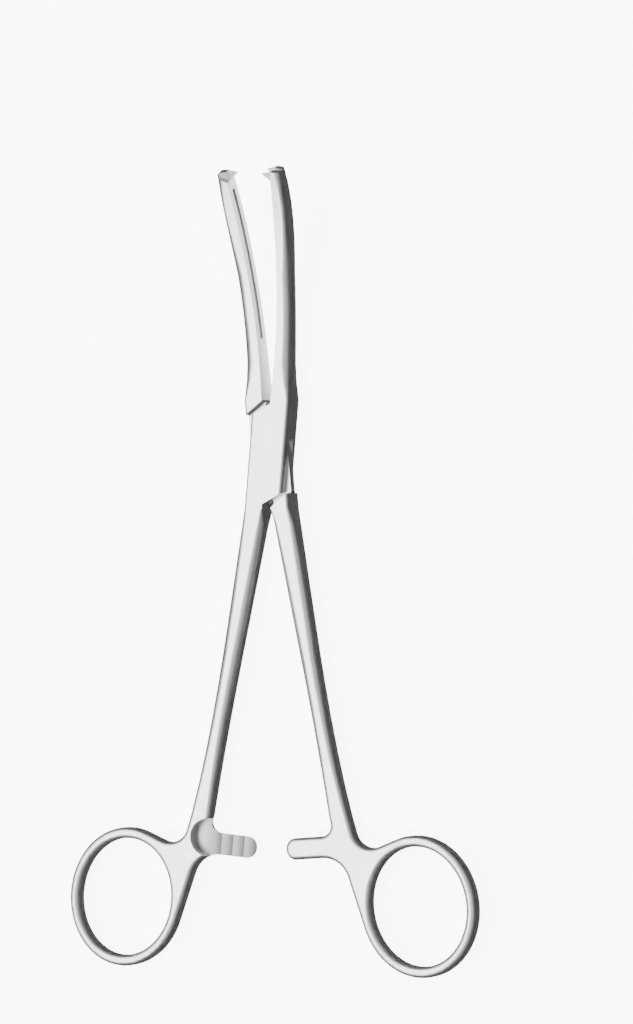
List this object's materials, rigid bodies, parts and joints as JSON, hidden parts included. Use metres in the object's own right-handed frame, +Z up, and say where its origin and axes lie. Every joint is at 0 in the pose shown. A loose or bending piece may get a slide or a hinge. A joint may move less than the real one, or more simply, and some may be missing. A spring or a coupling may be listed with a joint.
{
  "type": "hysterectomy forceps",
  "caption": "Long curved toothed forceps with a box lock, a toothed ratchet and two finger rings, lying on its back a little open.",
  "frame": {"origin": "on the axis of the lock pin, in the plane of the lock's underside", "axes": "+X across the finger rings to the right, +Y along the instrument from the rings to the jaw tips, +Z up, out of the lock's front face, which is the way the jaws curve"},
  "size_m": [0.1138, 0.2032, 0.0178],
  "materials": {
    "satin_steel": "satin ground stainless steel, brighter on the edges"
  },
  "bodies": {
    "box_side": {"box_half": "satin_steel", "lock_pin": "satin_steel"},
    "insert_side": {"insert_half": "satin_steel"}
  },
  "joints": [
    {"name": "box_lock_hinge", "type": "hinge", "parent": "box_side", "child": "insert_side", "pos_m": [0, 0, 0], "axis": [0, 0, 1], "range_deg": [-10, 35]}
  ]
}
